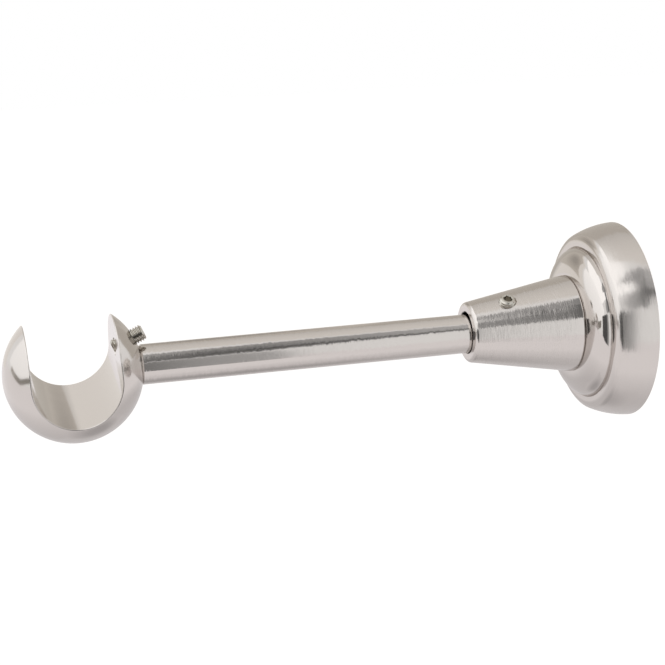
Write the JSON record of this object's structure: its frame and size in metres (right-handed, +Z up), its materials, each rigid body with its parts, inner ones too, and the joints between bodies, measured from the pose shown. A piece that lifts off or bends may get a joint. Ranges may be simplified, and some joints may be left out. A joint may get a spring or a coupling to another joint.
{
  "type": "curtain pole bracket",
  "caption": "Wall bracket for a curtain pole: round stepped rose, tapered socket, sliding round arm and an open ball-shaped hook with a set screw that clamps the pole.",
  "frame": {"origin": "middle of the wall face, on the axis of the rose", "axes": "+Y into the wall, so the arm stands out along -Y; +Z up; +X along the pole"},
  "size_m": [0.0606, 0.1904, 0.0606],
  "materials": {
    "brushed_nickel": "nickel plate, brushed round the axis",
    "rod_nickel": "nickel plate, finely brushed round the axis",
    "satin_nickel": "nickel plate, smooth satin",
    "screw_steel": "nickel plated screw",
    "zinc_plated_steel": "zinc plate"
  },
  "bodies": {
    "wall_base": {"wall_plate": "zinc_plated_steel", "rose": "brushed_nickel", "cone_socket": "brushed_nickel", "lock_washer": "zinc_plated_steel", "cone_nut": "zinc_plated_steel"},
    "arm": {"arm_rod": "rod_nickel", "hook_stud": "zinc_plated_steel", "hook": "satin_nickel"},
    "arm_screw": {"arm_grub_screw": "screw_steel"},
    "rose_screw": {"rose_lock_screw": "screw_steel"},
    "pole_screw": {"pole_set_screw": "screw_steel"}
  },
  "joints": [
    {"name": "arm_slide", "type": "slide", "parent": "wall_base", "child": "arm", "axis": [0, -1, 0], "range_m": [-0.015, 0.012]},
    {"name": "arm_screw_slide", "type": "slide", "parent": "wall_base", "child": "arm_screw", "axis": [0.3746, 0, 0.9272], "range_m": [0, 0.004]},
    {"name": "rose_screw_slide", "type": "slide", "parent": "wall_base", "child": "rose_screw", "axis": [0, 0, -1], "range_m": [0, 0.003]},
    {"name": "pole_screw_slide", "type": "slide", "parent": "arm", "child": "pole_screw", "axis": [0, -0.9135, -0.4067], "range_m": [-0.002, 0.003]}
  ]
}
